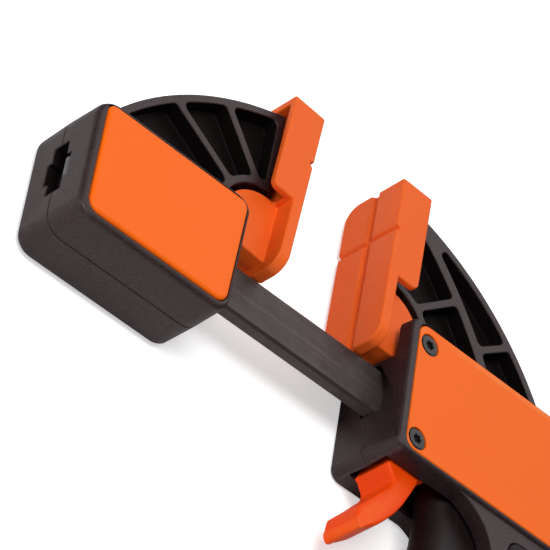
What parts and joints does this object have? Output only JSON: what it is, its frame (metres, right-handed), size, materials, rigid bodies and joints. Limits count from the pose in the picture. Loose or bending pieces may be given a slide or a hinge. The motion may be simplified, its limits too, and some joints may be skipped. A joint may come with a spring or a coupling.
{
  "type": "quick release bar clamp",
  "caption": "One-handed bar clamp with fixed and sliding jaws, tilting pads, squeeze trigger and release lever on a flat bar.",
  "frame": {"origin": "on the outer face of the fixed jaw's lower side plate, straight under the bar's axis, near the middle of the fixed jaw's block", "axes": "+X along the bar from the fixed jaw to the tail, +Y from the bar to the jaw tips, +Z from the side it lies on to the side that faces up"},
  "size_m": [0.364, 0.2003, 0.035],
  "materials": {
    "black_nylon": "fine spark-eroded grain, matt",
    "grip_rubber": "soft matt",
    "orange_plastic": "satin",
    "orange_pad": "firm soft-touch, matt",
    "bar_steel": "satin dark phosphate with fine scratches",
    "zinc_steel": "zinc plated",
    "spring_steel": "hardened, oiled",
    "black_steel": "black oxide"
  },
  "bodies": {
    "fixed_jaw": {"bar": "bar_steel", "bar_end_stop": "zinc_steel", "fixed_jaw_near_shell": "black_nylon", "fixed_jaw_far_shell": "black_nylon", "fixed_jaw_near_plate": "orange_plastic", "fixed_jaw_far_plate": "orange_plastic", "bar_retaining_pin": "zinc_steel", "bar_retaining_clip": "spring_steel", "fixed_jaw_screws": "zinc_steel", "fixed_pad_pin": "zinc_steel"},
    "fixed_pad": {"fixed_pad": "orange_pad"},
    "moving_jaw": {"moving_jaw_near_shell": "black_nylon", "moving_jaw_far_shell": "black_nylon", "moving_jaw_near_plate": "orange_plastic", "moving_jaw_far_plate": "orange_plastic", "plate_screws": "black_steel", "shell_screws": "zinc_steel", "shell_nuts": "zinc_steel", "handle_near_grip": "grip_rubber", "handle_far_grip": "grip_rubber", "front_bar_guide": "black_nylon", "rear_bar_guide": "black_nylon", "moving_pad_pin": "zinc_steel", "brake_spring": "spring_steel", "drive_spring": "spring_steel", "release_lever_pin": "zinc_steel", "trigger_pin": "zinc_steel"},
    "moving_pad": {"moving_pad": "orange_pad"},
    "brake_plate": {"brake_plate": "spring_steel"},
    "release_lever": {"release_lever": "orange_plastic"},
    "drive_plates": {"drive_plates": "spring_steel"},
    "trigger": {"trigger": "black_nylon"}
  },
  "joints": [
    {"name": "jaw_slide", "type": "slide", "parent": "fixed_jaw", "child": "moving_jaw", "axis": [1, 0, 0], "range_m": [-0.0388, 0.1084]},
    {"name": "fixed_pad_tilt", "type": "hinge", "parent": "fixed_jaw", "child": "fixed_pad", "pos_m": [0.0495, 0.025, 0.0175], "axis": [0, 0, 1], "range_deg": [0, 3.9]},
    {"name": "moving_pad_tilt", "type": "hinge", "parent": "moving_jaw", "child": "moving_pad", "pos_m": [0.11147, 0.025, 0.0175], "axis": [0, 0, 1], "range_deg": [-1, 2]},
    {"name": "trigger_pull", "type": "hinge", "parent": "moving_jaw", "child": "trigger", "pos_m": [0.15007, 0.0188, 0.0175], "axis": [0, 0, 1], "range_deg": [0, 11], "stiffness_Nm_per_rad": 1, "springref_deg": -8.59},
    {"name": "drive_stroke", "type": "slide", "parent": "moving_jaw", "child": "drive_plates", "axis": [1, 0, 0], "range_m": [0, 0.0058], "deforming": ["drive_spring"]},
    {"name": "release_pull", "type": "hinge", "parent": "moving_jaw", "child": "release_lever", "pos_m": [0.13107, -0.025, 0.0175], "axis": [0, 0, 1], "range_deg": [0, 15], "stiffness_Nm_per_rad": 0.3, "springref_deg": -8.59},
    {"name": "brake_tilt", "type": "hinge", "parent": "moving_jaw", "child": "brake_plate", "pos_m": [0.13607, 0.0165, 0.0175], "axis": [0, 0, 1], "range_deg": [-3.05, 0]}
  ],
  "couplings": [
    {"joint": "drive_stroke", "follows": "trigger_pull", "m_per_rad": 0.03},
    {"joint": "brake_tilt", "follows": "release_pull", "ratio": -0.2}
  ]
}
